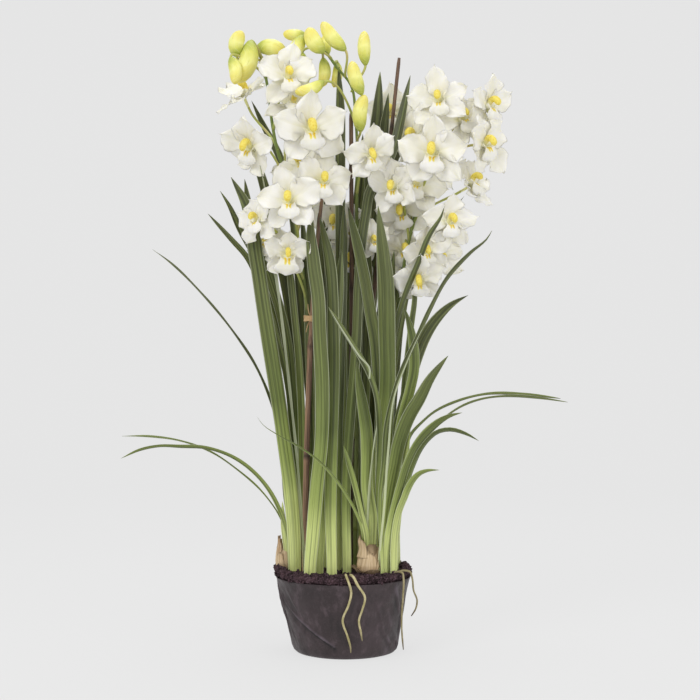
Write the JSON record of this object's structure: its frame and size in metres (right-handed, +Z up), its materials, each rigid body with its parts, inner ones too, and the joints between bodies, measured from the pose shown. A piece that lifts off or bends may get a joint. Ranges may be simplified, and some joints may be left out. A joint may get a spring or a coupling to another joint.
{
  "type": "potted orchid",
  "caption": "Potted cymbidium orchid: long strap leaves in a fan, arching flower spikes on brown canes with white flowers and buds, roots over the rim of a soft dark pot.",
  "frame": {"origin": "centre of the pot's flat underside", "axes": "+Z up along the pot's axis, -Y towards the front, +X to the right seen from the front"},
  "size_m": [0.71, 0.303, 0.9986],
  "materials": {
    "leaf": "satin",
    "petal": "matte",
    "stem": "satin",
    "cane": "satin",
    "bulb_sheath": "matte",
    "root": "matte",
    "raffia": "matte",
    "compost": "matte",
    "pot": "satin"
  },
  "bodies": {
    "root": {"bulb_front": "bulb_sheath", "bulb_left": "bulb_sheath", "bulb_right": "bulb_sheath", "cane_centre": "cane", "cane_left": "cane", "cane_right": "cane", "compost": "compost", "flower_centre_1": "petal", "flower_centre_2": "petal", "flower_left_1": "petal", "flower_left_2": "petal", "flower_left_3": "petal", "flower_left_4": "petal", "flower_left_5": "petal", "flower_left_6": "petal", "flower_left_7": "petal", "flower_left_8": "petal", "flower_left_9": "petal", "flower_right_1": "petal", "flower_right_2": "petal", "flower_right_3": "petal", "flower_right_4": "petal", "flower_right_5": "petal", "flower_right_6": "petal", "flower_right_7": "petal", "leaf_back_1": "leaf", "leaf_back_2": "leaf", "leaf_centre_1": "leaf", "leaf_centre_2": "leaf", "leaf_centre_3": "leaf", "leaf_centre_4": "leaf", "leaf_centre_5": "leaf", "leaf_front_1": "leaf", "leaf_front_2": "leaf", "leaf_front_3": "leaf", "leaf_front_4": "leaf", "leaf_front_5": "leaf", "leaf_front_6": "leaf", "leaf_left_1": "leaf", "leaf_left_2": "leaf", "leaf_left_3": "leaf", "leaf_left_4": "leaf", "leaf_left_5": "leaf", "leaf_left_6": "leaf", "leaf_left_7": "leaf", "leaf_right_1": "leaf", "leaf_right_2": "leaf", "leaf_right_3": "leaf", "leaf_right_4": "leaf", "leaf_right_5": "leaf", "leaf_right_6": "leaf", "pot": "pot", "raffia_tie": "raffia", "root_front_left": "root", "root_front_right": "root", "root_side_inner": "root", "root_side_outer": "root", "spike_centre": "stem", "spike_left": "stem", "spike_right": "stem"}
  },
  "joints": []
}
